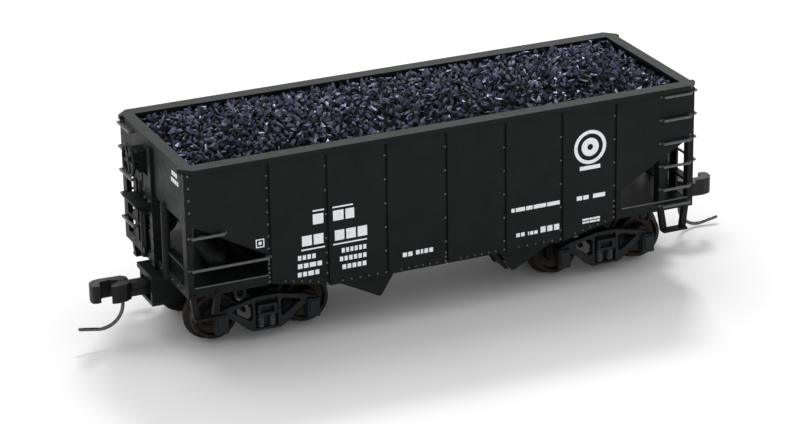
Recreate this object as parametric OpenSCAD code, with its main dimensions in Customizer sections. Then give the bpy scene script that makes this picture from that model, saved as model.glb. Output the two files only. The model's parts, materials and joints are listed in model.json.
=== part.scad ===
// Two-bay offset-side open hopper car, a 1:160 model for 9 mm gauge track.
// X runs along the car with the brake end (B end) at -X, Y across it, Z up.
// The origin is the middle of the car, level with the bottoms of the wheel flanges.

/* [Body] */
// Length over the corner posts
body_l = 59.8; // [56:0.1:64]
// Width over the side sheets
body_w = 19.6; // [18.6:0.1:20]
// Length over the top chord
chord_l = 60.6; // [60:0.1:65]
// Width over the top chord
chord_w = 20.7; // [20:0.1:21.4]
// Height of the top of the chord
chord_top = 21.9; // [20.5:0.1:23]
// Width of the chord's top flange
chord_flange = 1.65; // [1.2:0.05:1.9]
// Thickness of the chord's top flange
chord_t = 0.45; // [0.3:0.05:0.6]
// Thickness of the side and end sheets
sheet_t = 0.6; // [0.4:0.05:0.8]
// Bottom of the side sheets between the trucks
side_low = 6.1; // [5.8:0.1:6.6]
// Bottom of the side sills at the ends
sill_low = 7.5; // [7.2:0.1:8]
// Height of the side sills at the ends
sill_h = 1.2; // [0.8:0.1:1.6]
// Bottom of the end sheets, where the slope sheets begin
end_low = 15.8; // [15:0.1:16.5]
// Fall of the slope sheets per unit of length
slope = 0.555; // [0.5:0.005:0.58]

/* [Side panels] */
// Distance of the first seams from the middle
seam_1 = 7.0; // [6.5:0.1:7.4]
// Distance of the second seams from the middle
seam_2 = 13.85; // [13.2:0.05:14.4]
// Distance of the third seams from the middle
seam_3 = 20.4; // [20:0.1:20.8]
// Width of the post at each end of a side
post_w = 0.7; // [0.5:0.05:0.9]

/* [Hopper chutes] */
// Bottom of the chutes
chute_low = 3.55; // [3.3:0.05:4]
// Distance of the chute lips from the middle
chute_lip = 8.1; // [7.6:0.1:8.6]
// Distance of the tops of the doors from the middle
door_top_x = 6.1; // [5.6:0.1:6.6]
// Half width over the chutes
chute_y = 9.2; // [8.6:0.1:9.2]

/* [Running gear] */
// Distance between the truck centres
truck_centres = 40.6; // [39.5:0.1:42]
// Distance between the axles of a truck
wheelbase = 10.5; // [10:0.1:11]
// Radius of the wheel treads
tread_r = 2.6; // [2.4:0.05:2.7]
// Height of the flanges above the treads
flange_h = 0.5; // [0.4:0.05:0.55]
// Distance of the flange backs from the middle of the track
flange_back = 3.75; // [3.7:0.01:3.85]
// Width of a wheel with its flange
wheel_w = 1.75; // [1.6:0.05:1.8]
// Radius of the axles
axle_r = 0.6; // [0.5:0.05:0.7]
// Radius of the axle journals
journal_r = 0.3; // [0.25:0.01:0.35]
// Gap between a turning part and its bore, on the radius
run_gap = 0.05; // [0.02:0.01:0.08]

/* [Couplers] */
// Distance of the coupler pivots from the middle
pivot_x = 29.0; // [28.8:0.1:29.3]
// Height of the coupler shanks
coupler_z = 5.65; // [5.5:0.05:5.8]
// Radius of the pivot screws
pivot_r = 0.35; // [0.3:0.01:0.4]

/* [Load] */
// Gap between the coal and the inside of the chord
load_gap = 0.2; // [0.15:0.05:0.4]
// Height of the coal along its edges, below the top of the chord
load_edge = 1.0; // [0.6:0.1:1.4]
// Rise of the coal in the middle
load_crown = 1.3; // [0.8:0.1:1.6]
// Underside of the coal insert
load_low = 17.2; // [17:0.1:17.6]

/* [Hidden] */
$fn = 32;

black = "#232527";
coal = "#1b1d22";
wheel_brown = "#4b4038";
steel = "#8d9093";

half_l = body_l / 2;
half_w = body_w / 2;
side_in = half_w - sheet_t;
sheet_top = chord_top - chord_t;
sill_top = sill_low + sill_h;
axle_z = tread_r + flange_h;
truck_x = truck_centres / 2;
flange_r = tread_r + flange_h;
seams = [-seam_3, -seam_2, -seam_1, 0, seam_1, seam_2, seam_3];
slope_plate = 0.75;
ladder_x = half_l - 4.25;

// Height of the underside of the slope sheets at a distance from the middle
function slope_z(x) = end_low - (half_l - x) * slope;

// Points of a line taken in the order given and then mirrored, for outlines even about x = 0
function mirrored(points) = concat(points,
    [for (i = [len(points) - 1:-1:0]) if (points[i][0] != 0) [-points[i][0], points[i][1]]]);

// An outline in X and Z, from y0 to y1
module across(y0, y1) translate([0, y1, 0]) rotate([90, 0, 0]) linear_extrude(y1 - y0) children();

// An outline in Y and Z, from x0 to x1
module along(x0, x1) translate([x0, 0, 0]) rotate([90, 0, 90]) linear_extrude(x1 - x0) children();

// A block between two corners
module block(low, high) translate(low) cube(high - low);

// The same thing on both sides, and at both ends turned half round
module both_sides() { children(); mirror([0, 1, 0]) children(); }
module both_ends() { children(); rotate(180) children(); }

// ---- Body shell ----

module side_outline() {
    bay_x0 = seam_3 + 0.5;
    bay_x1 = half_l - post_w;
    bottom = mirrored([[half_l, sill_low], [seam_3, sill_low], [seam_2 + 2.2, side_low + 0.55],
        [seam_2, side_low], [0, side_low]]);
    difference() {
        polygon(concat([[half_l, sheet_top]], bottom, [[-half_l, sheet_top]]));
        // the open triangle under each slope sheet
        for (end = [-1, 1]) scale([end, 1]) polygon([[bay_x0, sill_top], [bay_x1, sill_top],
            [bay_x1, slope_z(bay_x1) + 0.1], [bay_x0, slope_z(bay_x0) + 0.1]]);
    }
}

// Near side sheet, with a groove beside the lapped edge of each panel
module side_sheet() {
    groove_w = 0.34;
    groove_d = 0.2;
    lap = 0.27;
    difference() {
        across(-half_w, -side_in) side_outline();
        for (x = seams) translate([x - lap - groove_w / 2, -half_w - 1, 0])
            cube([groove_w, 1 + groove_d, sheet_top]);
    }
}

// The post beside the side ladder: as thick as the sheet at the sill, deeper above the floor
module ladder_post() {
    width = 0.8;
    depth = 1.25;
    top = slope_z(ladder_x) + 0.6;
    block([ladder_x, side_in, sill_low], [ladder_x + width, half_w, top]);
    block([ladder_x, half_w - depth, floor_z + floor_t], [ladder_x + width, half_w, top]);
}

// Loop for a tow rope, under the side sill
module rope_loop() {
    loop_x = 24.1;
    outer_r = 0.62;
    inner_r = 0.38;
    drop = 0.42;
    across(half_w - 0.55, half_w - 0.1) translate([loop_x, sill_low - drop]) difference() {
        union() {
            circle(r = outer_r);
            translate([-outer_r, 0]) square([2 * outer_r, drop + 0.3]);
        }
        circle(r = inner_r);
        translate([-inner_r, 0]) square([2 * inner_r, drop]);
    }
}

module chord_ring(half_x, half_y, flange, cut, low, high) {
    set_back = 0.35;
    corner = 1.75;
    translate([0, 0, low]) linear_extrude(high - low) difference() {
        intersection() {
            square([2 * half_x, 2 * half_y], center = true);
            // the 45 degree cuts over the corners
            rotate(45) square(sqrt(2) * (half_x + half_y - cut), center = true);
        }
        square([2 * (half_x - flange), 2 * (half_y - flange)], center = true);
        // between its corners the end flange stands a little back
        for (end = [-1, 1]) translate([end * half_x, 0])
            square([2 * set_back, 2 * (half_y - corner)], center = true);
    }
}

angle_y = 5.45;
angle_w = 0.95;

module end_wall() {
    post_r = 0.45;
    block([half_l - sheet_t, -side_in, end_low], [half_l, side_in, sheet_top]);
    // centre post, full height
    block([half_l, -0.4, sill_low], [half_l + 0.35, 0.4, sheet_top - 0.35]);
    block([half_l - 0.5, -0.4, sill_low], [half_l, 0.4, end_low]);
    // end sill and the tie plates over it
    block([half_l - 0.8, -side_in, sill_low], [half_l, side_in, sill_low + 1.1]);
    both_sides() {
        block([half_l - 0.9, 3.4, 10.5], [half_l, side_in, 10.8]);
        // round posts with domed tops
        translate([half_l - 0.02, 3.4, sill_low + 0.05]) {
            cylinder(r = post_r, h = end_low - sill_low);
            translate([0, 0, end_low - sill_low]) sphere(r = post_r);
        }
        // returns of the corner posts round the end
        block([half_l - sheet_t, side_in - 0.5, sill_low], [half_l, side_in, end_low]);
    }
    // angle post that carries the inner ends of the end rungs
    block([half_l - 0.3, -angle_y - angle_w, sill_low], [half_l, -angle_y, end_low]);
    block([half_l - 0.65, -angle_y - 0.2, sill_low], [half_l, -angle_y, end_low]);
}

module slope_sheet() {
    upper_end = chute_lip + 0.6;
    across(-side_in, side_in) polygon([[half_l, end_low], [half_l, end_low + slope_plate],
        [upper_end, slope_z(upper_end) + slope_plate], [chute_lip - 0.1, slope_z(chute_lip)],
        [chute_lip, slope_z(chute_lip)]]);
}

// Ridge between the two chutes
module ridge() {
    plate = 0.6;
    peak = 9.4;
    across(-side_in, side_in) polygon([[door_top_x, side_low], [door_top_x, side_low + plate],
        [0, peak + plate], [-door_top_x, side_low + plate], [-door_top_x, side_low], [0, peak]]);
}

// Side wall of a chute, below the side sheet
module chute_cheek() {
    across(chute_y - sheet_t, chute_y) polygon([[seam_2 - 0.65, side_low + 0.1], [chute_lip, chute_low],
        [chute_lip - 0.3, chute_low], [door_top_x, side_low + 0.1]]);
}

// Ledge inside the bin that carries the coal insert
module load_ledge(x) {
    ledge = 1.3;
    block([x - 0.5, side_in - ledge, load_low - 0.6], [x + 0.5, side_in, load_low]);
}

module body_shell() {
    lip_h = 0.3;
    lip_w = 0.9;
    lip_in = 0.25;
    color(black) difference() {
        union() {
            both_ends() {
                side_sheet();
                end_wall();
                slope_sheet();
                mirror([0, 1, 0]) ladder_post();
                both_sides() rope_loop();
                both_sides() chute_cheek();
                both_sides() for (x = [8, 24]) load_ledge(x);
            }
            ridge();
            chord_ring(chord_l / 2, chord_w / 2, chord_flange, 1.2, sheet_top, chord_top);
            chord_ring(chord_l / 2 - lip_in, chord_w / 2 - lip_in, lip_w, 1.1, sheet_top - lip_h, sheet_top);
        }
        // slot for the centre sill
        block([-18, -sill_half - 0.02, sill_z0 - 0.02], [18, sill_half + 0.02, sill_z1 + 0.02]);
    }
}

// ---- Underframe ----

sill_half = 1.2;
sill_z0 = 6.3;
sill_z1 = 7.5;
box_half = 1.85;
box_x0 = 26.9;
box_x1 = 31.2;
box_z0 = 3.85;
box_z1 = 7.0;
lid_t = 0.4;
cavity_half = 1.42;
cavity_top = 6.6;
plate_z = 5.5;
pin_hole_r = 0.5;

bolster_half = 0.9;
floor_z = 8.2;
floor_t = 0.3;

module body_bolster() {
    along(truck_x - bolster_half, truck_x + bolster_half) polygon(mirrored([[2.4, sill_z0],
        [side_in, sill_top - 0.5], [side_in, sill_top]]));
    translate([truck_x, 0, plate_z]) cylinder(r = 1.7, h = sill_z0 - plate_z + 0.1);
}

// Floor from the bolster to the end sill, under the slope sheet, on two cross bearers
module end_floor() {
    block([truck_x, -side_in, floor_z], [half_l - 0.8, side_in, floor_z + floor_t]);
    for (x = [24.2, 27.4]) block([x, -side_in, floor_z - 0.5], [x + 0.4, side_in, floor_z]);
    block([box_x0, -sill_half, box_z1], [half_l - 0.8, sill_half, floor_z]);
}

module draft_box() {
    difference() {
        union() {
            block([box_x0, -box_half, box_z0 + lid_t], [box_x1, box_half, box_z1]);
            block([28.6, -2.45, box_z1 - 0.1], [box_x1 + 0.1, 2.45, box_z1 + 0.45]);
            block([truck_x, -sill_half, plate_z + 0.3], [box_x0, sill_half, floor_z]);
        }
        block([box_x0 + 0.3, -cavity_half, 0], [box_x1 + 1, cavity_half, cavity_top]);
        translate([pivot_x, 0, 0]) cylinder(r = pivot_r + 0.02, h = 20);
    }
}

module underframe() {
    color(black) difference() {
        union() {
            block([-truck_x, -sill_half, sill_z0], [truck_x, sill_half, sill_z1]);
            both_ends() { body_bolster(); end_floor(); draft_box(); }
        }
        // holes that the kingpins screw into
        for (end = [-1, 1]) translate([end * truck_x, 0, 0]) cylinder(r = pin_hole_r, h = 8.1);
    }
}

// ---- Chute doors ----

module chute_door() {
    door = [[chute_lip - 0.35, chute_low - 0.05], [chute_lip - 0.75, chute_low - 0.05],
        [door_top_x - 0.35, side_low - 0.05], [door_top_x - 0.02, side_low - 0.05]];
    half = chute_y - sheet_t - 0.05;
    bar_r = 0.25;
    color(black) {
        across(-half, half) polygon(door);
        // ribs, and the hinge bar along the top
        for (y = [-6, -2.2, 2.2, 6]) across(y - 0.2, y + 0.2) translate([-0.25, 0]) polygon(door);
        translate([door_top_x - 0.55, half, side_low - 0.35]) rotate([90, 0, 0])
            cylinder(r = bar_r, h = 2 * half);
    }
}

module chute_door_b() rotate(180) chute_door();
module chute_door_a() chute_door();

// ---- Load and weight ----

module coal_load() {
    half_x = chord_l / 2 - chord_flange - load_gap;
    half_y = chord_w / 2 - chord_flange - load_gap;
    edge = chord_top - load_edge;
    crown = edge + load_crown;
    color(coal) intersection() {
        along(-half_x, half_x) polygon(mirrored([[half_y, load_low], [half_y, edge],
            [half_y * 0.7, edge + load_crown * 0.6], [half_y * 0.35, edge + load_crown * 0.92],
            [0, crown]]));
        across(-half_y, half_y) polygon(mirrored([[half_x, load_low], [half_x, edge],
            [half_x - 4, edge + load_crown * 0.75], [half_x - 9, crown], [0, crown + 0.01]]));
    }
}

// Weight plate, its two lower edges just over the slope sheets
module steel_weight() {
    low = 11.2;
    high = 12.7;
    half_x = half_l - (end_low + slope_plate - low) / slope - 0.02;
    color(steel) block([-half_x, -7.8, low], [half_x, 7.8, high]);
}

// ---- Brake gear ----

wheel_x = half_l + 1.35;
brake_y = 3.4;
brake_z = 18.9;
housing_x = half_l + 0.75;

module brake_wheel() {
    rim_r = 1.7;
    spoke_w = 0.45;
    color(black) translate([-wheel_x, brake_y, brake_z]) rotate([0, 90, 0]) {
        rotate_extrude() translate([rim_r, 0]) circle(r = 0.2);
        cylinder(r = 0.38, h = 0.4, center = true);
        for (k = [0:4]) rotate(k * 72) translate([0.2, -spoke_w / 2, -0.09])
            cube([rim_r - 0.2, spoke_w, 0.18]);
        // shaft, to the face of the housing
        cylinder(r = 0.16, h = wheel_x - housing_x);
    }
}

module brake_housing() {
    color(black) {
        block([-housing_x, brake_y - 1.3, brake_z - 1.2], [-half_l, brake_y + 0.9, brake_z + 1.1]);
        // two round bands across its face
        for (z = [0.85, -0.6]) translate([-housing_x, brake_y - 1.3, brake_z + z]) rotate([-90, 0, 0])
            cylinder(r = 0.3, h = 2.2);
        // back plate between the housing and the platform
        block([-half_l - 0.25, brake_y - 2.9, 14.8], [-half_l, brake_y - 1.1, brake_z - 1.2]);
    }
}

module brake_platform() {
    top = 14.75;
    deck = 0.25;
    x0 = -half_l - 2.0;
    color(black) {
        block([x0, 0, top - deck], [-half_l - 0.46, 4.5, top]);
        // two brackets from the end posts
        for (y = [0.62, 4.3]) across(y - 0.12, y + 0.12) polygon([[x0 + 0.1, top - deck],
            [-half_l, top - deck + 0.1], [-half_l, top - 1.9]]);
    }
}

// Rod from the housing down to a bell crank on the end sill, between the end and the platform
module brake_rod() {
    low = sill_low + 1.3;
    top = brake_z - 1.2;
    rod_r = 0.13;
    color(black) translate([-half_l - 0.2, brake_y - 0.9, low]) {
        cylinder(r = rod_r, h = top - low);
        block([-0.3, -0.25, -0.5], [0.2, 0.25, 0.1]);
    }
}

module air_reservoir() {
    r = 1.1;
    length = 3.6;
    centre_z = 9.85;
    color(black) translate([-25.1, -5.6, 0]) {
        translate([0, 0, centre_z]) rotate([-90, 0, 0]) {
            cylinder(r = r, h = length);
            sphere(r = r);
            translate([0, 0, length]) sphere(r = r);
        }
        // two feet on the floor
        for (y = [0.6, 3.0]) block([-0.6, y - 0.2, floor_z + floor_t], [0.6, y + 0.2, centre_z - 0.5]);
    }
}

module brake_cylinder() {
    centre_z = 10.9;
    r = 1.5;
    length = 3.4;
    color(black) translate([-27.4, 4.5, 0]) {
        translate([0, 0, centre_z]) rotate([-90, 0, 0]) {
            cylinder(r = r, h = length);
            translate([0, 0, length]) cylinder(r1 = r, r2 = 0.4, h = 0.6);
            translate([0, 0, length + 0.6]) cylinder(r = 0.2, h = 0.4);
            translate([0, 0, -0.3]) cylinder(r = r + 0.1, h = 0.35);
        }
        // foot on the floor
        block([-0.7, 1.1, floor_z + floor_t], [0.7, 2.2, centre_z - 0.5]);
    }
}

module control_valve() {
    centre_z = 9.5;
    color(black) {
        block([-24.9, 0.2, floor_z + floor_t], [-22.9, 1.9, 10.3]);
        translate([-23.9, 1.9, centre_z]) rotate([-90, 0, 0]) cylinder(r = 0.6, h = 0.5);
        translate([-23.9, -0.3, centre_z]) rotate([-90, 0, 0]) cylinder(r = 0.45, h = 0.5);
    }
}

// ---- Ladders, grab irons and steps ----

rung_r = 0.16;
rung_top = 20.95;
rung_pitch = 2.72;
stand_off = 0.42;

// A bent wire: a straight bar along X with its two ends turned in to the sheet
module wire(x0, x1, reach) {
    translate([x0, 0, 0]) rotate([0, 90, 0]) cylinder(r = rung_r, h = x1 - x0);
    for (x = [x0, x1]) translate([x, 0, 0]) {
        sphere(r = rung_r);
        rotate([-90, 0, 0]) cylinder(r = rung_r, h = reach);
    }
}

// Six rungs on the near side of the +X end
module side_rungs() {
    color(black) for (k = [0:5])
        translate([0, -half_w - stand_off, k < 5 ? rung_top - k * rung_pitch : sill_low + 0.6])
            wire(ladder_x + 0.4, half_l - 0.7, stand_off);
}
module side_rungs_a() side_rungs();
module side_rungs_b() rotate(180) side_rungs();

// End ladder at the near corner of the +X end: five rungs from the corner post to the angle post
module end_ladder() {
    reach = 0.36;
    outer_y = -9.45;
    inner_y = -angle_y - 0.4;
    color(black) for (k = [0:4]) translate([half_l + reach, outer_y, rung_top - k * rung_pitch])
        rotate(90) wire(0, inner_y - outer_y, reach);
}
module end_ladder_a() end_ladder();
module end_ladder_b() rotate(180) end_ladder();

// Upper short and lower long grab irons on the near side of the -X end
module grab_irons() {
    color(black) {
        translate([0, -half_w - stand_off, 14.3]) wire(-half_l + 0.6, -half_l + 4.05, stand_off);
        translate([0, -half_w - stand_off, 10.7]) wire(-half_l + 0.55, -seam_3 - 0.6, stand_off);
    }
}
module grab_irons_b() grab_irons();
module grab_irons_a() rotate(180) grab_irons();

// Stirrup step under the near side sill: x0 to x1 at the sill, narrowing to the tread
module stirrup(x0, x1) {
    bar = 0.62;
    low = 5.0;
    tab = sill_low + 0.4;
    tread_x0 = x0 + 0.4;
    tread_x1 = x1 - 0.3;
    tread_t = 0.25;
    depth = 0.6;
    color(black) {
        across(-half_w - 0.15, -half_w - 0.15 + depth) polygon([[x0, sill_low], [x0 + bar, sill_low],
            [tread_x0 + bar, low + tread_t], [tread_x1 - bar, low + tread_t], [x1 - bar, sill_low],
            [x1, sill_low], [tread_x1, low], [tread_x0, low]]);
        // tabs up the face of the sill
        for (x = [x0, x1 - bar]) block([x, -half_w - 0.15, sill_low - 0.1], [x + bar, -half_w, tab]);
        block([tread_x0, -half_w - 0.6, low], [tread_x1, -half_w, low + tread_t]);
    }
}
module stirrup_b_near() mirror([1, 0, 0]) stirrup(half_l - 3.6, half_l - 0.2);
module stirrup_a_near() stirrup(ladder_x, half_l - 0.6);
module stirrup_b_far() rotate(180) stirrup_a_near();
module stirrup_a_far() rotate(180) stirrup_b_near();

// ---- Trucks ----

frame_y0 = 6.6;
frame_y1 = 7.35;
pin_r = 0.6;

module frame_outline() {
    difference() {
        polygon(mirrored([[0, 5.25], [1.35, 5.2], [2.45, 4.95], [4.2, 4.6], [5.95, 4.05], [5.95, 1.95],
            [4.6, 1.95], [4.45, 3.5], [3.2, 2.55], [2.5, 1.85], [1.6, 1.3], [0, 1.3]]));
        for (s = [-1, 1]) scale([s, 1]) polygon([[1.6, 4.35], [1.85, 4.58], [2.5, 4.5], [3.8, 4.15],
            [3.95, 3.98], [3.8, 3.85], [2.0, 2.6], [1.75, 2.62], [1.6, 2.85]]);
        translate([-window_half, window_low]) square([2 * window_half, window_h]);
    }
}

window_half = 1.3;
window_low = 1.55;
window_h = 3.3;

module spring_profile() {
    turns = 6;
    pitch = 0.25;
    wave = [for (k = [0:2 * turns]) [k % 2 == 0 ? 0.14 : 0.27, k * pitch / 2 + 0.05]];
    polygon(concat([[0, 0]], wave, [[0, turns * pitch + 0.1]]));
}

module side_frame() {
    across(frame_y0, frame_y1) frame_outline();
    // web behind the springs
    across(frame_y0, frame_y0 + 0.2) translate([-window_half - 0.05, window_low - 0.05])
        square([2 * window_half + 0.1, window_h + 0.1]);
    // bolster end with its raised rim
    difference() {
        block([-1.1, frame_y0 - 0.4, 3.05], [1.1, frame_y1 + 0.3, 4.35]);
        block([-0.76, frame_y1 - 0.3, 3.36], [0.76, frame_y1 + 1, 4.04]);
    }
    for (x = [-0.65, 0.65]) translate([x, frame_y1 - 0.24, window_low - 0.05]) rotate_extrude()
        spring_profile();
    // axle boxes with their lids
    for (s = [-1, 1]) translate([s * wheelbase / 2, 0, 0]) {
        block([-0.7, frame_y0, 1.9], [0.7, frame_y1 + 0.45, 4.05]);
        across(frame_y1 + 0.4, frame_y1 + 0.6) polygon([[-0.5, 3.85], [0.5, 3.85], [0.5, 2.6],
            [0.3, 2.2], [-0.3, 2.2], [-0.5, 2.6]]);
    }
}

module truck_frame() {
    bore_l = 0.55;
    color(black) difference() {
        union() {
            both_sides() side_frame();
            // bolster between the side frames, with the centre bearing
            block([-1.15, -frame_y0 - 0.1, 3.2], [1.15, frame_y0 + 0.1, 4.7]);
            translate([0, 0, 4.6]) cylinder(r = 1.6, h = plate_z - 4.6);
            // brake beams beside the bolster
            for (end = [-1, 1]) scale([end, 1, 1]) {
                block([1.35, -4.6, 2.5], [1.75, 4.6, 2.9]);
                block([1.12, -0.4, 2.5], [1.75, 0.4, 3.3]);
            }
        }
        // bore for the kingpin, and a blind bore in each axle box
        cylinder(r = pin_r + run_gap, h = 9);
        for (x = [-wheelbase / 2, wheelbase / 2]) both_sides()
            translate([x, frame_y0 + bore_l, axle_z]) rotate([90, 0, 0])
                cylinder(r = journal_r + run_gap, h = 3);
    }
}

module truck_frame_b() translate([-truck_x, 0, 0]) rotate(180) truck_frame();
module truck_frame_a() translate([truck_x, 0, 0]) truck_frame();

// Shouldered screw: thin where it holds in the underframe, with a slotted head under the truck
module kingpin(x) {
    head_z = 2.6;
    head_t = 0.55;
    color(steel) translate([x, 0, 0]) {
        translate([0, 0, head_z + 0.4]) cylinder(r = pin_r, h = plate_z - head_z - 0.4);
        translate([0, 0, plate_z - 0.3]) cylinder(r = pin_hole_r - 0.02, h = 2.8);
        translate([0, 0, head_z]) difference() {
            cylinder(r = 1.0, h = head_t);
            translate([-1.5, -0.12, -0.1]) cube([3, 0.24, 0.3]);
        }
    }
}
module kingpin_b() kingpin(-truck_x);
module kingpin_a() kingpin(truck_x);

// Axles 1 to 4 run from the B end to the A end
function axle_x(k) = [-truck_x - wheelbase / 2, -truck_x + wheelbase / 2,
    truck_x - wheelbase / 2, truck_x + wheelbase / 2][k - 1];

// Axle: thick where it holds the wheels, thinner outside them, with a journal at each end
module axle(k) {
    seat = flange_back + wheel_w - 0.01;
    shoulder = frame_y0 - 0.1;
    tip = frame_y0 + 0.5;
    neck_r = axle_r * 0.8;
    half = [[axle_r, seat], [neck_r, seat], [neck_r, shoulder - 0.2], [journal_r, shoulder],
        [journal_r, tip - 0.25], [journal_r * 0.4, tip], [0, tip]];
    back = [for (i = [len(half) - 1:-1:0]) [half[i][0], -half[i][1]]];
    color(steel) translate([axle_x(k), 0, axle_z]) rotate([90, 0, 0]) rotate_extrude()
        polygon(concat(half, back));
}
module axle_1() axle(1);
module axle_2() axle(2);
module axle_3() axle(3);
module axle_4() axle(4);

// Wheel with its flange towards the middle of the track; side is -1 near, 1 far
module wheel(k, side) {
    inner = flange_back;
    face = flange_back + wheel_w;
    web = flange_back + 0.55;
    color(wheel_brown) translate([axle_x(k), 0, axle_z]) rotate([-90 * side, 0, 0]) rotate_extrude()
        polygon([
            // back of the hub, the web and the rim
            [axle_r, inner], [axle_r + 0.5, inner], [axle_r + 0.7, web], [tread_r - 0.55, web],
            [tread_r - 0.45, inner + 0.05], [tread_r + 0.2, inner],
            // flange and tread
            [flange_r - 0.12, inner + 0.08], [flange_r, inner + 0.25], [flange_r - 0.12, inner + 0.45],
            [tread_r + 0.05, inner + 0.6], [tread_r - 0.03, face],
            // face of the rim, the dish and the hub
            [tread_r - 0.4, face], [tread_r - 0.5, face - 0.5], [axle_r + 0.75, face - 0.65],
            [axle_r + 0.5, face], [axle_r, face]
        ]);
}
module wheel_1_near() wheel(1, -1);
module wheel_1_far() wheel(1, 1);
module wheel_2_near() wheel(2, -1);
module wheel_2_far() wheel(2, 1);
module wheel_3_near() wheel(3, -1);
module wheel_3_far() wheel(3, 1);
module wheel_4_near() wheel(4, -1);
module wheel_4_far() wheel(4, 1);

// ---- Couplers, drawn with the pivot at the origin and pointing along +X ----

shank_half = 0.62;
shank_top = 0.75;
shank_l = 4.0;
head_x = 3.95;
head_low = -0.9;
head_top = 1.05;
split = 0.03;

module shank(low, high) {
    difference() {
        union() {
            block([0, -shank_half, low], [shank_l, shank_half, high]);
            translate([0, 0, low]) cylinder(r = 0.95, h = high - low);
        }
        translate([0, 0, -2]) cylinder(r = pivot_r + run_gap, h = 4);
    }
}

module head() translate([0, 0, head_low]) linear_extrude(head_top - head_low) children();

// Upper half of the shank, with the knuckle
module knuckle_half() {
    color(black) {
        shank(split, shank_top);
        block([head_x, -shank_half, split], [4.6, -0.1, shank_top]);
        head() polygon([[4.1, -0.2], [4.1, -0.9], [4.6, -1.4], [7.1, -1.55], [7.85, -1.35],
            [8.3, -0.85], [8.4, -0.15], [8.25, 0.35], [7.9, 0.5], [7.4, 0.45], [7.35, -0.3],
            [6.9, -0.7], [5.9, -0.7], [5.4, -0.45], [5.2, -0.1], [4.5, -0.1]]);
    }
}

// Lower half of the shank, with the guard arm and the bore that holds the trip pin
module guard_half() {
    color(black) difference() {
        union() {
            shank(-shank_top, -split);
            block([head_x, 0.05, -shank_top], [4.6, shank_half, -split]);
            head() polygon([[4.1, 0.05], [5.4, 0.05], [5.6, 0.3], [6.3, 0.75], [6.45, 1.25],
                [5.8, 1.4], [4.8, 1.25], [4.1, 0.75]]);
        }
        translate([pin_at[0], pin_at[1], -3]) cylinder(r = pin_wire, h = 2.6);
    }
}

pin_at = [5.1, 0.6];
pin_wire = 0.2;

// Steel trip pin: down from the head, forward in an arc, then rising a little to its tip
module trip_pin(low) {
    bend = 2.5;
    level = 2.0;
    rise = 10;
    color(steel) translate([pin_at[0], pin_at[1], 0]) {
        translate([0, 0, bend - low]) cylinder(r = pin_wire, h = low - bend - 0.5);
        translate([bend, 0, bend - low]) {
            rotate([90, 0, 0]) rotate([0, 0, 180]) rotate_extrude(angle = 90 + rise)
                translate([bend, 0]) circle(r = pin_wire);
            rotate([0, -rise, 0]) translate([0, 0, -bend]) rotate([0, 90, 0]) {
                cylinder(r = pin_wire, h = level);
                translate([0, 0, level]) sphere(r = pin_wire);
            }
        }
    }
}

module centring_spring() {
    turns = 4;
    pitch = 0.15;
    wave = [for (k = [0:2 * turns]) [k % 2 == 0 ? 0.3 : 0.45, k * pitch / 2]];
    color(steel) translate([-1.75, 0, 0]) rotate([0, 90, 0]) rotate_extrude()
        polygon(concat([[0.12, 0]], wave, [[0.12, turns * pitch]]));
}

module coupler_lid() {
    color(black) difference() {
        translate([-pivot_x, 0, -coupler_z])
            block([box_x0, -box_half, box_z0], [box_x1, box_half, box_z0 + lid_t]);
        translate([0, 0, -3]) cylinder(r = pivot_r + 0.02, h = 3);
    }
}

module coupler_screw() {
    head_z = box_z0 - coupler_z;
    color(steel) {
        translate([0, 0, head_z]) cylinder(r = pivot_r, h = box_z1 - box_z0 - 0.1);
        difference() {
            translate([0, 0, head_z - 0.3]) cylinder(r = 0.75, h = 0.3);
            translate([-1, -0.1, head_z - 0.4]) cube([2, 0.2, 0.2]);
        }
    }
}

module at_b() translate([-pivot_x, 0, coupler_z]) rotate(180) children();
module at_a() translate([pivot_x, 0, coupler_z]) children();

module knuckle_half_b() at_b() knuckle_half();
module guard_half_b() at_b() guard_half();
module trip_pin_b() at_b() trip_pin(3.8);
module centring_spring_b() at_b() centring_spring();
module coupler_lid_b() at_b() coupler_lid();
module coupler_screw_b() at_b() coupler_screw();
module knuckle_half_a() at_a() knuckle_half();
module guard_half_a() at_a() guard_half();
module trip_pin_a() at_a() trip_pin(5.3);
module centring_spring_a() at_a() centring_spring();
module coupler_lid_a() at_a() coupler_lid();
module coupler_screw_a() at_a() coupler_screw();

body_shell();
underframe();
chute_door_b();
chute_door_a();
coal_load();
steel_weight();
brake_wheel();
brake_housing();
brake_platform();
brake_rod();
air_reservoir();
brake_cylinder();
control_valve();
side_rungs_b();
side_rungs_a();
end_ladder_b();
end_ladder_a();
grab_irons_b();
grab_irons_a();
stirrup_b_near();
stirrup_b_far();
stirrup_a_near();
stirrup_a_far();
truck_frame_b();
truck_frame_a();
kingpin_b();
kingpin_a();
axle_1();
axle_2();
axle_3();
axle_4();
wheel_1_near();
wheel_1_far();
wheel_2_near();
wheel_2_far();
wheel_3_near();
wheel_3_far();
wheel_4_near();
wheel_4_far();
knuckle_half_b();
guard_half_b();
trip_pin_b();
centring_spring_b();
coupler_lid_b();
coupler_screw_b();
knuckle_half_a();
guard_half_a();
trip_pin_a();
centring_spring_a();
coupler_lid_a();
coupler_screw_a();
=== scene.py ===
"""Looks of the model hopper car: paint, marks, rivets, coal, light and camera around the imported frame."""
import json
import math
import random

import bmesh
import bpy
from mathutils import Euler, Matrix, Vector
from mathutils.bvhtree import BVHTree


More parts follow.
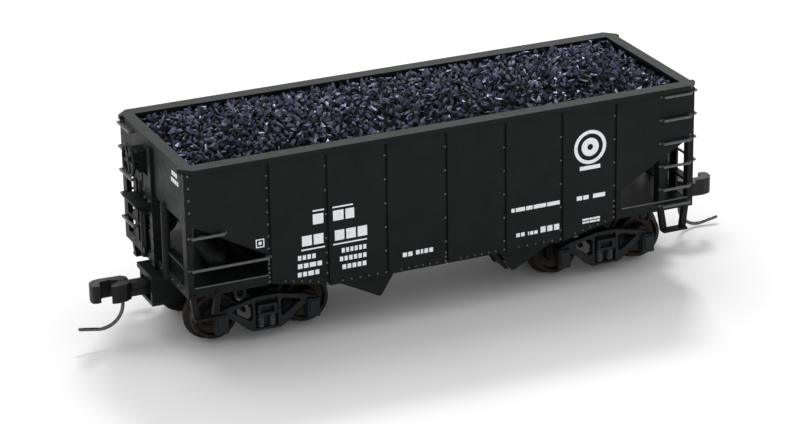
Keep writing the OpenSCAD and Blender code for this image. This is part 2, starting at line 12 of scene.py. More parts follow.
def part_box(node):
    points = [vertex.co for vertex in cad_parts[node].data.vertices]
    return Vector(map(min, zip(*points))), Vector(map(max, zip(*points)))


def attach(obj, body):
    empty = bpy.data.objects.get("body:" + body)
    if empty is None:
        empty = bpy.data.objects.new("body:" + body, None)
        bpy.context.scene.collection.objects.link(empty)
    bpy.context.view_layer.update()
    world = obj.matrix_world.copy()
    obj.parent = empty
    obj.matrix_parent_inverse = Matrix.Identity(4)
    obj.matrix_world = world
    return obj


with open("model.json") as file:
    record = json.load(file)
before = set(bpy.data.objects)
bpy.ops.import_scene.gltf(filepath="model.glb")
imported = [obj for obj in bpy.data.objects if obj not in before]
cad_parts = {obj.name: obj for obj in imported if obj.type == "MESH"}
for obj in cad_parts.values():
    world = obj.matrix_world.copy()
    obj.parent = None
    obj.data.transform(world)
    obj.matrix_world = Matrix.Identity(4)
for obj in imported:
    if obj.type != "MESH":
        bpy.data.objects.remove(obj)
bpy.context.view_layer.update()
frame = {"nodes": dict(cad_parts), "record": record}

MM = 0.001
NODES = frame["nodes"]


# ---- Places on the car, in millimetres ----

def box_mm(node):
    """The lowest and the highest corner of a CAD node."""
    low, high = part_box(node)
    return low / MM, high / MM


SIDE_Y = -box_mm("grab_irons_b")[1].y     # outside face of a side sheet, distance from the middle
END_X = -box_mm("brake_housing")[1].x     # outside face of an end sheet
CHORD_TOP = box_mm("body_shell")[1].z
LOAD_HIGH = box_mm("coal_load")[1]
CHUTE_JOINT = 13.85                       # panel joints on the outer sides of the chutes
BAY_JOINT = 20.4                          # panel joints beside the open end bays
JOINTS = (-BAY_JOINT, -CHUTE_JOINT, -7.0, 0.0, 7.0, CHUTE_JOINT, BAY_JOINT)
KNEE_X = 16.05                            # the lower edge of a side sheet bends here
KNEE_RISE = 0.55
SIDE_LOW = 6.1                            # lower edge of a side sheet between the chute joints
SILL_LOW = 7.5
SILL_TOP = 8.7
END_LOW = 15.8                            # lower edge of an end sheet


def side_bottom(x):
    """Height of the lower edge of a side sheet at x."""
    x = abs(x)
    if x >= BAY_JOINT:
        return SILL_LOW
    if x >= KNEE_X:
        return SILL_LOW + (BAY_JOINT - x) / (BAY_JOINT - KNEE_X) * (SIDE_LOW + KNEE_RISE - SILL_LOW)
    if x >= CHUTE_JOINT:
        return SIDE_LOW + (x - CHUTE_JOINT) / (KNEE_X - CHUTE_JOINT) * KNEE_RISE
    return SIDE_LOW


# ---- Materials ----

class Paint:
    """A node material, built up from its Principled shader."""

    def __init__(self, name, **values):
        self.material = bpy.data.materials.new(name)
        self.material.use_nodes = True
        self.tree = self.material.node_tree
        self.shader = self.tree.nodes["Principled BSDF"]
        for key, value in values.items():
            self.shader.inputs[key.replace("_", " ")].default_value = value
        self.place = self.node("ShaderNodeTexCoord").outputs["Object"]
        self.normal = None

    def node(self, kind, links=(), **settings):
        made = self.tree.nodes.new(kind)
        for key, value in settings.items():
            if key in made.inputs:
                made.inputs[key].default_value = value
            else:
                setattr(made, key, value)
        for socket, source in dict(links).items():
            self.link(source, made.inputs[socket])
        return made

    def link(self, source, target):
        self.tree.links.new(source, target)

    def noise(self, size_mm, detail):
        """Noise with features of about size_mm."""
        return self.node("ShaderNodeTexNoise", {"Vector": self.place}, Scale=1 / (size_mm * MM),
                         Detail=detail, Roughness=0.6).outputs["Fac"]

    def ramp(self, source, stops):
        """A colour ramp over source; stops are (place, colour)."""
        made = self.node("ShaderNodeValToRGB", {"Fac": source})
        elements = made.color_ramp.elements
        while len(elements) < len(stops):
            elements.new(0.5)
        for element, (at, colour) in zip(elements, stops):
            element.position = at
            element.color = (*colour, 1)
        return made.outputs["Color"]

    def spread(self, source, low, high):
        """Noise, which lies mostly between 0.3 and 0.7, stretched to lie between low and high."""
        made = self.node("ShaderNodeMapRange", {"Value": source})
        for socket, value in (("From Min", 0.3), ("From Max", 0.7), ("To Min", low), ("To Max", high)):
            made.inputs[socket].default_value = value
        return made.outputs["Result"]

    def colour(self, source):
        self.link(source, self.shader.inputs["Base Color"])
        return self

    def rough(self, source):
        self.link(source, self.shader.inputs["Roughness"])
        return self

    def soft_edges(self, radius_mm):
        """Edges that catch the light as if they were rounded."""
        made = self.node("ShaderNodeBevel", Radius=radius_mm * MM)
        made.samples = 6
        self.normal = made.outputs["Normal"]
        self.link(self.normal, self.shader.inputs["Normal"])
        return self

    def bump(self, source, depth_mm):
        """Relief of about depth_mm, on top of the soft edges if there are any."""
        made = self.node("ShaderNodeBump", {"Height": source}, Distance=depth_mm * MM, Strength=1.0)
        if self.normal is not None:
            self.link(self.normal, made.inputs["Normal"])
        self.normal = made.outputs["Normal"]
        self.link(self.normal, self.shader.inputs["Normal"])
        return self


def satin_black():
    """Satin black paint: nearly even, with a fine grain and a slightly uneven gloss."""
    p = Paint("satin_black", Specular_IOR_Level=0.12)
    p.colour(p.ramp(p.noise(3.2, 4), [(0.3, (0.0050, 0.0058, 0.0062)), (0.7, (0.0086, 0.0096, 0.0101))]))
    p.rough(p.spread(p.noise(1.1, 5), 0.40, 0.54))
    p.soft_edges(0.05)
    p.bump(p.noise(0.09, 2), 0.003)
    return p.material


def painted_highlight_black():
    """The same black with a painted highlight: its base colour made lighter and its gloss raised, standing in
    for the highlights on heads, wires and edges that stand proud.
    """
    p = Paint("painted_highlight_black", Specular_IOR_Level=0.55)
    p.colour(p.ramp(p.noise(0.4, 4), [(0.3, (0.050, 0.053, 0.057)), (0.7, (0.095, 0.100, 0.108))]))
    p.rough(p.spread(p.noise(0.5, 4), 0.26, 0.42))
    p.bump(p.noise(0.08, 2), 0.003)
    return p.material


def truck_plastic():
    """Bluish dark grey moulded plastic, a little blotchy."""
    p = Paint("truck_plastic", Specular_IOR_Level=0.22)
    p.colour(p.ramp(p.noise(0.9, 5), [(0.3, (0.0062, 0.0076, 0.0093)), (0.7, (0.0118, 0.0138, 0.0165))]))
    p.rough(p.spread(p.noise(0.5, 4), 0.36, 0.55))
    p.soft_edges(0.07)
    p.bump(p.noise(0.12, 3), 0.006)
    return p.material


def coupler_plastic():
    """Dark grey moulded plastic with a finely uneven gloss."""
    p = Paint("coupler_plastic", Specular_IOR_Level=0.25)
    p.colour(p.ramp(p.noise(0.5, 4), [(0.3, (0.0036, 0.0040, 0.0046)), (0.7, (0.0072, 0.0078, 0.0088))]))
    p.rough(p.spread(p.noise(0.2, 4), 0.34, 0.56))
    p.soft_edges(0.05)
    p.bump(p.noise(0.08, 3), 0.006)
    return p.material


def coal_lumps_paint():
    """Crushed coal: black, each lump a shade of its own, with a bluish gloss."""
    p = Paint("coal_lumps", Specular_IOR_Level=0.9, Specular_Tint=(0.42, 0.50, 1.0, 1.0))
    lump = p.node("ShaderNodeNewGeometry").outputs["Random Per Island"]
    shade = p.ramp(lump, [(0.0, (0.0100, 0.0102, 0.0108)), (0.5, (0.0350, 0.0356, 0.0372)),
                          (0.85, (0.0660, 0.0670, 0.0700)), (1.0, (0.1050, 0.1120, 0.1420))])
    grain = p.ramp(p.noise(0.16, 4), [(0.3, (0.6, 0.6, 0.62)), (0.7, (1.15, 1.15, 1.2))])
    mixed = p.node("ShaderNodeMix", data_type="RGBA", blend_type="MULTIPLY")
    mixed.inputs["Factor"].default_value = 1.0
    p.link(shade, mixed.inputs["A"])
    p.link(grain, mixed.inputs["B"])
    p.colour(mixed.outputs["Result"])
    p.rough(p.spread(p.noise(0.35, 4), 0.17, 0.44))
    p.bump(p.noise(0.14, 4), 0.02)
    return p.material


def coal_bed_paint():
    """The moulded bed that the lumps are glued to."""
    p = Paint("coal_bed", Specular_IOR_Level=0.05)
    p.colour(p.ramp(p.noise(0.5, 5), [(0.3, (0.0010, 0.0010, 0.0013)), (0.7, (0.0030, 0.0030, 0.0036))]))
    p.rough(p.spread(p.noise(0.3, 3), 0.7, 0.9))
    p.bump(p.noise(0.3, 4), 0.05)
    return p.material


def wheel_brown():
    """Chemically browned metal, lighter in spots."""
    p = Paint("wheel_brown", Metallic=0.6, Specular_IOR_Level=0.3)
    p.colour(p.ramp(p.noise(0.6, 6), [(0.25, (0.010, 0.0078, 0.0062)), (0.6, (0.024, 0.0195, 0.016)),
                                       (0.85, (0.042, 0.036, 0.031))]))
    p.rough(p.spread(p.noise(0.25, 4), 0.34, 0.55))
    p.soft_edges(0.05)
    p.bump(p.noise(0.1, 3), 0.006)
    return p.material


def metal(name, dark, light, rough_low, rough_high):
    """Bare metal, its colour between dark and light and its gloss finely uneven."""
    p = Paint(name, Metallic=1.0)
    p.colour(p.ramp(p.noise(0.3, 4), [(0.3, dark), (0.7, light)]))
    p.rough(p.spread(p.noise(0.18, 4), rough_low, rough_high))
    p.soft_edges(0.03)
    p.bump(p.noise(0.075, 2), 0.003)
    return p.material


def printed_white():
    """Thin white print, a little uneven."""
    p = Paint("printed_white", Specular_IOR_Level=0.4)
    p.colour(p.ramp(p.noise(0.25, 5), [(0.25, (0.66, 0.68, 0.72)), (0.55, (0.88, 0.90, 0.93))]))
    p.rough(p.spread(p.noise(0.4, 3), 0.45, 0.65))
    p.bump(p.noise(0.09, 2), 0.003)
    return p.material


def floor_paint():
    """Even, matt and nearly white."""
    p = Paint("pale_floor", Specular_IOR_Level=0.2)
    p.colour(p.ramp(p.noise(40, 3), [(0.3, (0.80, 0.80, 0.80)), (0.7, (0.84, 0.84, 0.84))]))
    p.rough(p.spread(p.noise(20, 3), 0.75, 0.9))
    return p.material


MATERIALS = {
    "body_black": satin_black(),
    "truck_plastic": truck_plastic(),
    "coupler_plastic": coupler_plastic(),
    "coal": coal_bed_paint(),
    "browned_wheel": wheel_brown(),
    "blackened_steel": metal("blackened_steel", (0.045, 0.045, 0.047), (0.10, 0.10, 0.105), 0.3, 0.45),
    "plain_steel": metal("plain_steel", (0.34, 0.34, 0.35), (0.50, 0.50, 0.51), 0.25, 0.42),
    "bright_wire": metal("bright_wire", (0.075, 0.071, 0.069), (0.150, 0.144, 0.140), 0.14, 0.28),
    "mark_white": printed_white(),
    "coal_lumps": coal_lumps_paint(),
    "painted_highlight_black": painted_highlight_black(),
}
HIGHLIT_WIRES = ("side_rungs", "end_ladder", "grab_irons")     # body_black nodes that are bare wires; they get the black with a painted highlight

SLOT_OF = {s["node"]: s["material_slot"] for s in frame["record"]["subparts"]}
for name, node in NODES.items():
    node.data.materials.clear()
    node.data.materials.append(MATERIALS["painted_highlight_black" if name.startswith(HIGHLIT_WIRES) else SLOT_OF[name]])


# ---- Mesh building ----

class Mesh:
    """Closed solids in millimetres, gathered into one piece."""

    def __init__(self):
        self.points = []
        self.faces = []

    def add(self, points, faces):
        """Adds one solid; its faces count from its own first point."""
        start = len(self.points)
        self.points.extend(Vector(p) for p in points)
        self.faces.extend([start + i for i in f] for f in faces)

    def half_turn(self):
        """Adds the same solids turned half round the middle of the car."""
        self.add([(-p.x, -p.y, p.z) for p in self.points], self.faces[:])
        return self

    def piece(self, name, body, slot, material=None, smooth=False):
        """Makes the piece that rides on a body; its material is the slot's own unless another is named."""
        data = bpy.data.meshes.new(name)
        data.from_pydata([p * MM for p in self.points], [], self.faces)
        data.materials.append(MATERIALS[material or slot])
        data.polygons.foreach_set("use_smooth", [smooth] * len(data.polygons))
        data.update()
        made = bpy.data.objects.new(name, data)
        bpy.context.scene.collection.objects.link(made)
        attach(made, body)
        return made


SUNK = 0.03          # bases of rivets and bolts lie this deep in the sheet
RIVET_R = 0.13


def frame_at(normal):
    """The unit normal, and two directions square to it and to each other."""
    normal = Vector(normal).normalized()
    first = normal.cross(Vector((0, 0, 1)))
    if first.length < 0.1:
        first = Vector((1, 0, 0))
    first.normalize()
    return normal, first, normal.cross(first)


def turned(mesh, at, normal, rings, sides):
    """A solid turned about normal: rings are (radius, height), and it is closed at both ends."""
    normal, u, v = frame_at(normal)
    at = Vector(at)
    points, faces = [], []
    for radius, height in rings:
        for k in range(sides):
            a = 2 * math.pi * k / sides
            points.append(at + normal * height + (u * math.cos(a) + v * math.sin(a)) * radius)
    for r in range(len(rings) - 1):
        for k in range(sides):
            n = (k + 1) % sides
            faces.append([r * sides + k, r * sides + n, (r + 1) * sides + n, (r + 1) * sides + k])
    faces.append(list(reversed(range(sides))))
    faces.append([(len(rings) - 1) * sides + k for k in range(sides)])
    mesh.add(points, faces)


def rivet(mesh, at, normal, radius=RIVET_R):
    """Round rivet head, its base sunk into the sheet."""
    turned(mesh, at, normal, [(radius, -SUNK), (radius, 0.02), (radius * 0.86, 0.07), (radius * 0.55, 0.11),
                              (radius * 0.15, 0.13)], 10)


def bolt(mesh, at, normal, radius):
    """Hexagon bolt head on its washer."""
    washer = radius * 1.25
    turned(mesh, at, normal, [(washer, -SUNK), (washer, 0.03)], 12)
    turned(mesh, at, normal, [(radius, 0.02), (radius, 0.13), (radius * 0.8, 0.16)], 6)


def cuboid(mesh, low, high):
    """A block between its lowest and its highest corner."""
    (x0, y0, z0), (x1, y1, z1) = low, high
    points = [(x, y, z) for z in (z0, z1) for y in (y0, y1) for x in (x0, x1)]
    mesh.add(points, [[0, 2, 3, 1], [4, 5, 7, 6], [0, 1, 5, 4], [2, 6, 7, 3], [0, 4, 6, 2], [1, 3, 7, 5]])


def steps(start, end, pitch):
    """Evenly spaced values from start to end, about pitch apart; just one where start is end."""
    if start == end:
        return [start]
    count = max(1, round(abs(end - start) / pitch))
    return [start + (end - start) * k / count for k in range(count + 1)]


# ---- Rivets on the sheets ----

NEAR = (0, -1, 0)                     # the way that the near side faces
BRAKE_END = (-1, 0, 0)                # the way that the end with the brake faces

PITCH = 2.72                          # pitch down the panel joints and the plain end's corner post
CLOSE_PITCH = 1.36                    # pitch at the brake end: down its corner post and its first panel joint
LEFT_OF_JOINT = 0.42                  # the rivets of a panel joint stand to the left of it, beside its groove
TOPS = (19.80, 19.78, 19.79, 19.60, 18.33, 18.36, 19.73)    # highest rivet of each panel joint
# closer rivets low down, where some joints meet the floor sheets: the highest of them, and their pitch
LOW_RIVETS = {-BAY_JOINT: (9.87, 0.57), -CHUTE_JOINT: (9.97, 1.2), 0.0: (7.40, 0.57), BAY_JOINT: (9.80, 0.57)}
LOW_ROW = 0.34                        # height of the lowest rivets over the edge of the sheet
FREE = 0.8                            # share of the pitch kept free over the closer rivets

EDGE_PITCH = 0.92                     # along the lower edge of each panel
EDGE_START, EDGE_END = 1.35, 1.45     # from the joints to the first and to the last rivet of an edge
SMALL_R, MEDIUM_R, LARGE_R = 0.10, 0.11, 0.15

POST_X = END_X - 0.45                 # line of rivets down a corner post
POST_TOP = CHORD_TOP - 0.71
BRAKE_POST_LOW = 17.0
PLAIN_POST_TOP, PLAIN_POST_LOW = POST_TOP - 0.4, 16.0


def falling(start, end, pitch):
    """Heights from start down to end, exactly pitch apart."""
    return [start - pitch * k for k in range(int((start - end) / pitch + 0.5) + 1)]


def joint_rivets(mesh):
    """Down each panel joint of the near side."""
    for joint, top in zip(JOINTS, TOPS):
        low = side_bottom(joint) + LOW_ROW
        low_top, low_pitch = LOW_RIVETS.get(joint, (low, PITCH))
        pitch = CLOSE_PITCH if joint == JOINTS[0] else PITCH
        for z in falling(top, low_top + FREE * pitch, pitch) + steps(low_top, low, low_pitch):
            rivet(mesh, (joint - LEFT_OF_JOINT, -SIDE_Y, z), NEAR)


def edge_rivets(mesh):
    """Along the lower edges of the near side's panels."""
    for joint, following in zip(JOINTS, JOINTS[1:]):
        for x in steps(joint + EDGE_START, following - EDGE_END, EDGE_PITCH):
            rivet(mesh, (x, -SIDE_Y, side_bottom(x) + LOW_ROW), NEAR, MEDIUM_R)


def post_rivets(mesh):
    """Down the near side's corner posts: close at the brake end, wide at the other, and one at each foot."""
    for z in falling(POST_TOP, BRAKE_POST_LOW, CLOSE_PITCH):
        rivet(mesh, (-POST_X, -SIDE_Y, z), NEAR, LARGE_R)
    for z in steps(PLAIN_POST_TOP, PLAIN_POST_LOW, PITCH):
        rivet(mesh, (POST_X, -SIDE_Y, z), NEAR)
    for end in (-1, 1):
        rivet(mesh, (end * POST_X, -SIDE_Y, SILL_LOW + 0.3), NEAR)


def end_rivets(mesh):
    """On the brake end: down both edges of its sheet, down the centre post, and along the end sill."""
    for y in (-SIDE_Y + 0.3, SIDE_Y - 0.3):
        for z in steps(POST_TOP + 0.1, END_LOW + 0.5, 1.44):
            rivet(mesh, (-END_X, y, z), BRAKE_END, SMALL_R)
    post_face, apart, post_rivet_r = -END_X - 0.35, 0.22, 0.09
    for z in steps(7.9, END_LOW - 0.6, 1.6):
        for y in (-apart, apart):
            rivet(mesh, (post_face, y, z), BRAKE_END, post_rivet_r)
    row_half, centre_post, round_posts, clear = 8.6, 0.7, 3.4, 0.6
    for y in steps(-row_half, row_half, 1.72):
        if abs(y) > centre_post and abs(abs(y) - round_posts) > clear:
            rivet(mesh, (-END_X, y, SILL_LOW + 0.55), BRAKE_END, MEDIUM_R)


rivets = Mesh()
joint_rivets(rivets)
edge_rivets(rivets)
post_rivets(rivets)
end_rivets(rivets)
# The rivets get the lighter black, a painted highlight on their heads.
rivets.half_turn().piece("rivets", "car_body", "body_black", "painted_highlight_black", smooth=True)


# ---- Bolts of the grab irons, rungs and brake ----

BOLT_BEYOND = 0.18        # bolts stand this far beyond the ends of their wires


def loose_parts(data):
    """The lowest and highest corner of each separate solid of a mesh, in millimetres."""
    made = bmesh.new()
    made.from_mesh(data)
    bmesh.ops.remove_doubles(made, verts=made.verts, dist=1e-6)
    boxes, waiting = [], set(made.verts)
    while waiting:
        todo = [waiting.pop()]
        part = []
        while todo:
            vert = todo.pop()
            part.append(vert.co / MM)
            for edge in vert.link_edges:
                other = edge.other_vert(vert)
                if other in waiting:
                    waiting.remove(other)
                    todo.append(other)
        boxes.append([Vector(pick(p[k] for p in part) for k in range(3)) for pick in (min, max)])
    made.free()
    return sorted(boxes, key=lambda b: b[0].z)


def wire_bolts(mesh):
    """Bolts beside the ends of the grab irons and rungs of the near side."""
    for wires in NODES["grab_irons_b"].data, NODES["side_rungs_a"].data:
        for low, high in loose_parts(wires):
            z = (low.z + high.z) / 2
            for x in (low.x - BOLT_BEYOND, high.x + BOLT_BEYOND):
                if abs(x) < END_X - 0.1:
                    bolt(mesh, (x, -SIDE_Y, z), NEAR, 0.12)


def brake_bolts(mesh):
    """Two bolts on the back plate of the brake housing."""
    plate_x, y = -END_X - 0.25, 1.75
    for z in (15.95, 14.95):
        bolt(mesh, (plate_x, y, z), BRAKE_END, 0.16)


bolts = Mesh()
wire_bolts(bolts)
bolts.half_turn()
brake_bolts(bolts)
# The bolts get the lighter black, a painted highlight on their heads.
bolts.piece("wire_bolts", "car_body", "body_black", "painted_highlight_black")


# ---- Lips of the sills ----

LIP_START, LIP_END = 20.95, 29.2      # across an open end bay, up to the corner post
LIP_OUT, LIP_IN = 0.12, 0.05
LIP_HIGH = 0.10


def sill_lips(mesh):
    """On the near side, a raised lip along the top of the sill at each end."""
    for end in (-1, 1):
        x0, x1 = sorted((end * LIP_START, end * LIP_END))
        cuboid(mesh, (x0, -SIDE_Y - LIP_OUT, SILL_TOP - LIP_HIGH), (x1, -SIDE_Y + LIP_IN, SILL_TOP))


lips = Mesh()
sill_lips(lips)
# The lips get the lighter black, a painted highlight along the top edge of the sill.
lips.half_turn().piece("sill_lips", "car_body", "body_black", "painted_highlight_black")


# ---- Springs of the trucks ----

SPRING_APART = 0.65       # distance of each spring from the middle of its truck
SPRING_IN = 0.84          # the springs' axes lie this far inside the outermost face of a truck frame
SPRING_LOW, SPRING_HIGH = 1.62, 3.0


def coil(mesh, x, y, radius=0.30, wire=0.07, turns=5):
    """A round wire wound about an upright axis, closed at both ends."""
    steps_a_turn, sides = 14, 6
    count = turns * steps_a_turn
    points, faces = [], []
    for i in range(count + 1):
        a = 2 * math.pi * i / steps_a_turn
        z = SPRING_LOW + (SPRING_HIGH - SPRING_LOW) * i / count
        out = Vector((math.cos(a), math.sin(a), 0))
        for k in range(sides):
            b = 2 * math.pi * k / sides
            lift = Vector((0, 0, wire * math.sin(b)))
            points.append(Vector((x, y, z)) + out * (radius + wire * math.cos(b)) + lift)
    for i in range(count):
        for k in range(sides):
            n = (k + 1) % sides
            faces.append([i * sides + k, i * sides + n, (i + 1) * sides + n, (i + 1) * sides + k])
    faces.append(list(reversed(range(sides))))
    faces.append([count * sides + k for k in range(sides)])
    mesh.add(points, faces)


for end in "ba":
    low, high = box_mm("truck_frame_" + end)
    springs = Mesh()
    for side in (-1, 1):
        for apart in (-SPRING_APART, SPRING_APART):
            coil(springs, (low.x + high.x) / 2 + apart, side * (high.y - SPRING_IN))
    # The springs get the lighter black, a painted highlight on their coils.
    springs.piece("springs_" + end, "truck_" + end, "truck_plastic", "painted_highlight_black", smooth=True)


# ---- Printed marks: plain bars, blocks and a plain ring, no lettering ----

PRINT = 0.02              # a mark stands this far out of the sheet, and goes as far into it
RULE = 0.16               # height of the thin rules
BLOCK = 1.15              # height of the large blocks
ROW = 0.52                # height of the small rows

# Rows on the near side: from x, to x, height of the foot, height of the blocks, and their widths in shares.
# The main block stands on both sides of a panel joint.
MAIN_ROWS = (
    (-15.73, -14.43, 14.84, RULE, [1]), (-13.48, -11.13, 14.84, RULE, [1]),
    (-15.73, -14.53, 13.39, BLOCK, [1]), (-13.43, -11.0, 13.39, BLOCK, [1.2, 1]),
    (-17.03, -14.58, 11.12, BLOCK, [1] * 2), (-13.28, -9.56, 11.12, BLOCK, [1] * 3),
    (-17.13, -14.43, 10.62, RULE, [1]), (-13.49, -9.61, 10.62, RULE, [1]),
    (-17.55, -15.53, 9.6, ROW, [1] * 4), (-12.53, -9.7, 9.6, ROW, [1] * 6),
    (-17.58, -14.83, 8.65, ROW, [1, 1, 1.4, 1]), (-12.77, -9.7, 8.65, ROW, [1] * 6),
    (-17.61, -15.17, 7.7, ROW, [1, 1, 1.5, 1]), (-12.5, -9.73, 7.7, ROW, [1] * 5),
)
DATA_ROWS = (
    (-5.48, -4.33, 7.77, 0.5, [1, 1]), (-3.93, -1.91, 7.8, 0.5, [1, 0.6, 1, 1]),
    (7.47, 13.33, 10.57, 0.45, [1, 3, 2, 4, 4]),
    (8.05, 9.07, 7.6, 0.44, [1, 1]), (9.47, 10.63, 7.6, 0.4, [0.4, 1, 1]), (11.0, 13.27, 7.62, 0.68, [1] * 3),
    (15.42, 16.87, 10.56, 0.48, [1, 1]), (17.42, 18.9, 10.56, 0.48, [1]),
    (16.12, 18.29, 8.06, 0.22, [2, 1, 2]), (16.14, 18.27, 7.72, 0.22, [1, 1, 2, 1]),
)
FRAMED_BOX = (-22.22, -21.27, 11.9, 12.85)           # from x, to x, foot, top
RING_BAR = (15.77, 18.27, 14.0, 14.45)
RING_X, RING_Z = 17.02, 16.6
RINGS = ((1.95, 1.55), (1.05, 0.35))                 # outer and inner radius
END_ROWS = ((20.35, -7.9, 3), (19.55, -8.2, 4))      # on the brake end: foot, first y, blocks


def mark_bar(mesh, x0, x1, z0, z1):
    """A bar on the near side."""
    cuboid(mesh, (x0, -SIDE_Y - PRINT, z0), (x1, -SIDE_Y + PRINT, z1))


def mark_row(mesh, x0, x1, z, height, shares):
    """A row of blocks on the near side, with gaps between."""
    gap = min(0.22, 0.3 * height)
    free = (x1 - x0) - gap * (len(shares) - 1)
    x = x0
    for share in shares:
        width = free * share / sum(shares)
        mark_bar(mesh, x, x + width, z, z + height)
        x += width + gap


def framed_box(mesh, x0, x1, z0, z1):
    """A square outline around a small block."""
    line, inside = 0.11, 0.3
    mark_bar(mesh, x0, x1, z0, z0 + line)
    mark_bar(mesh, x0, x1, z1 - line, z1)
    mark_bar(mesh, x0, x0 + line, z0 + line, z1 - line)
    mark_bar(mesh, x1 - line, x1, z0 + line, z1 - line)
    mark_bar(mesh, x0 + inside, x1 - inside, z0 + inside, z1 - inside)


def ring_mark(mesh, outer, inner, sides=40):
    """A flat ring on the near side, about the place of the rings."""
    points, faces = [], []
    for y in (-SIDE_Y - PRINT, -SIDE_Y + PRINT):
        for r in (outer, inner):
            for k in range(sides):
                a = 2 * math.pi * k / sides
                points.append((RING_X + r * math.cos(a), y, RING_Z + r * math.sin(a)))
    o0, i0, o1, i1 = 0, sides, 2 * sides, 3 * sides
    for k in range(sides):
        n = (k + 1) % sides
        faces += [[o0 + k, o0 + n, i0 + n, i0 + k], [o1 + k, i1 + k, i1 + n, o1 + n],
                  [o0 + k, o1 + k, o1 + n, o0 + n], [i0 + k, i0 + n, i1 + n, i1 + k]]
    mesh.add(points, faces)


def side_marks(mesh):
    """On the near side: the rows, the framed box, and two rings over a bar."""
    for row in MAIN_ROWS:
        mark_row(mesh, *row)
    framed_box(mesh, *FRAMED_BOX)
    for row in DATA_ROWS:
        mark_row(mesh, *row)
    for outer, inner in RINGS:
        ring_mark(mesh, outer, inner)
    mark_bar(mesh, *RING_BAR)


def end_marks(mesh):
    """Two short rows high on the brake end."""
    width, gap, height = 0.42, 0.14, 0.48
    for z, first, count in END_ROWS:
        for k in range(count):
            y = first + k * (width + gap)
            cuboid(mesh, (-END_X - PRINT, y, z), (-END_X + PRINT, y + width, z + height))


marks = Mesh()
side_marks(marks)
end_marks(marks)
marks.half_turn().piece("printed_marks", "car_body", "mark_white")


# ---- Coal ----

def lump_shapes(count, draw):
    """Angular chips: convex hulls of a few points on a ball."""
    shapes = []
    for _ in range(count):
        made = bmesh.new()
        for _ in range(draw.randint(9, 13)):
            p = Vector((draw.gauss(0, 1), draw.gauss(0, 1), draw.gauss(0, 1))).normalized()
            made.verts.new(p * draw.uniform(0.8, 1.0))
        bmesh.ops.convex_hull(made, input=made.verts)
        loose = [v for v in made.verts if not v.link_faces]
        bmesh.ops.delete(made, geom=loose, context="VERTS")
        made.verts.index_update()
        shapes.append(([v.co.copy() for v in made.verts], [[v.index for v in f.verts] for f in made.faces]))
        made.free()
    return shapes


def coal_surface():
    """A function for the height of the bed at x and y."""
    data = NODES["coal_load"].data
    tree = BVHTree.FromPolygons([v.co for v in data.vertices], [p.vertices[:] for p in data.polygons])

    def height(x, y):
        hit = tree.ray_cast(Vector((x * MM, y * MM, 1.0)), Vector((0, 0, -1)))[0]
        return hit.z / MM if hit else None
    return height


EDGE_HEAP = 0.22          # the lumps stand this much higher against the long sides of the bin,
EDGE_WIDTH = 1.6          # and fall to their usual height over this width
OVER_EDGE = 0.08          # lumps may reach this far past the edge of the load
INSIDE = 0.05             # the bed's height is read at least this far inside its edge
SEED, CHIPS = 7, 40
LAYERS = ((0.66, -0.05, 0.56), (0.82, 0.30, 0.66))      # spacing, height over the bed, size


def clamp(value, reach):
    """value, kept between -reach and reach."""
    return max(-reach, min(reach, value))


def scatter_coal():
    """Layers of chips over the bed, turned every way and cut off at the edges of the load."""
    draw = random.Random(SEED)
    shapes = lump_shapes(CHIPS, draw)
    height = coal_surface()
    reach_x, reach_y = LOAD_HIGH.x + OVER_EDGE, LOAD_HIGH.y + OVER_EDGE
    mesh = Mesh()
    for spacing, lift, size in LAYERS:
        columns = int(2 * LOAD_HIGH.x / spacing)
        rows = int(2 * LOAD_HIGH.y / spacing)
        for i in range(columns):
            for j in range(rows):
                x = -LOAD_HIGH.x + (i + 0.5 + draw.uniform(-0.45, 0.45)) * 2 * LOAD_HIGH.x / columns
                y = -LOAD_HIGH.y + (j + 0.5 + draw.uniform(-0.45, 0.45)) * 2 * LOAD_HIGH.y / rows
                top = height(clamp(x, LOAD_HIGH.x - INSIDE), clamp(y, LOAD_HIGH.y - INSIDE))
                if top is None:
                    continue
                points, faces = draw.choice(shapes)
                big = size * draw.uniform(0.6, 1.25)
                width, depth = draw.uniform(0.4, 0.7), draw.uniform(0.25, 0.5)
                turn = Euler([draw.uniform(0, 2 * math.pi) for _ in range(3)]).to_matrix()
                heap = EDGE_HEAP * max(0.0, 1 - (LOAD_HIGH.y - abs(y)) / EDGE_WIDTH)
                at = Vector((x, y, top + lift + heap + draw.uniform(-0.2, 0.15)))
                placed = []
                for p in points:
                    q = at + turn @ Vector((p.x, p.y * width, p.z * depth)) * big
                    q.x = clamp(q.x, reach_x)
                    q.y = clamp(q.y, reach_y)
                    placed.append(q)
                mesh.add(placed, faces)
    return mesh


scatter_coal().piece("coal_lumps", "coal_insert", "coal", "coal_lumps")


# ---- Floor, light and camera ----

def floor():
    """A large flat square at the level of the flange bottoms."""
    data = bpy.data.meshes.new("floor")
    half = 2.5        # metres
    corners = [(-half, -half, 0), (half, -half, 0), (half, half, 0), (-half, half, 0)]
    data.from_pydata(corners, [], [[0, 1, 2, 3]])
    data.materials.append(floor_paint())
    made = bpy.data.objects.new("floor", data)
    bpy.context.scene.collection.objects.link(made)


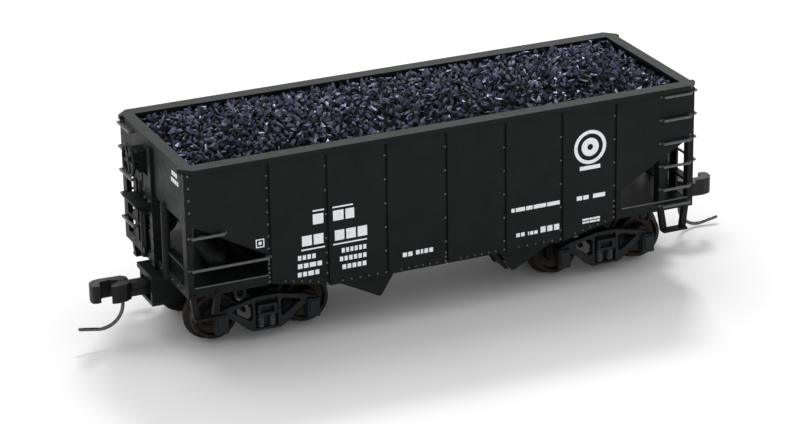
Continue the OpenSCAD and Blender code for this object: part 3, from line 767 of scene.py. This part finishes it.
def area_light(name, at, towards, size, power):
    """A flat lamp, in metres and watts."""
    data = bpy.data.lights.new(name, "AREA")
    data.shape = "RECTANGLE"
    data.size, data.size_y = size
    data.energy = power
    made = bpy.data.objects.new(name, data)
    made.location = at
    made.rotation_euler = (Vector(towards) - Vector(at)).to_track_quat("-Z", "Y").to_euler()
    bpy.context.scene.collection.objects.link(made)


def sun(name, at, spread, strength):
    """A soft distant light; spread is its width in degrees."""
    data = bpy.data.lights.new(name, "SUN")
    data.angle = math.radians(spread)
    data.energy = strength
    made = bpy.data.objects.new(name, data)
    made.rotation_euler = (-Vector(at)).to_track_quat("-Z", "Y").to_euler()
    bpy.context.scene.collection.objects.link(made)


def sky(strength):
    """Even white light from all round, which also makes the background."""
    world = bpy.data.worlds.new("studio")
    world.use_nodes = True
    back = world.node_tree.nodes["Background"]
    back.inputs["Color"].default_value = (1, 1, 1, 1)
    back.inputs["Strength"].default_value = strength
    bpy.context.scene.world = world


def camera():
    """Seen from the near side and the brake end, a little from above."""
    azimuth, elevation, roll = math.radians(-23.79), math.radians(21.86), math.radians(-0.99)
    target = Vector((-1.39, 0.0, 8.74)) * MM
    distance = 332.4 * MM
    back = Vector((math.sin(azimuth) * math.cos(elevation), -math.cos(azimuth) * math.cos(elevation),
                   math.sin(elevation)))
    right = Vector((math.cos(azimuth), math.sin(azimuth), 0))
    up = back.cross(right)
    x_axis = right * math.cos(roll) + up * math.sin(roll)
    y_axis = up * math.cos(roll) - right * math.sin(roll)
    data = bpy.data.cameras.new("camera")
    data.lens = 135.75
    data.sensor_width = 36
    data.clip_start, data.clip_end = 0.01, 20
    made = bpy.data.objects.new("camera", data)
    made.matrix_world = Matrix.Translation(target + back * distance) @ Matrix(
        (x_axis, y_axis, back)).transposed().to_4x4()
    bpy.context.scene.collection.objects.link(made)
    bpy.context.scene.camera = made


bpy.context.scene.view_settings.view_transform = "Standard"
floor()
sky(0.85)
sun("key", (-0.10, 0.45, 0.85), 35, 0.6)
area_light("glint_lamp", (0.34, 0.62, 0.75), (0, 0, 0.015), (0.22, 0.14), 4.5)
camera()
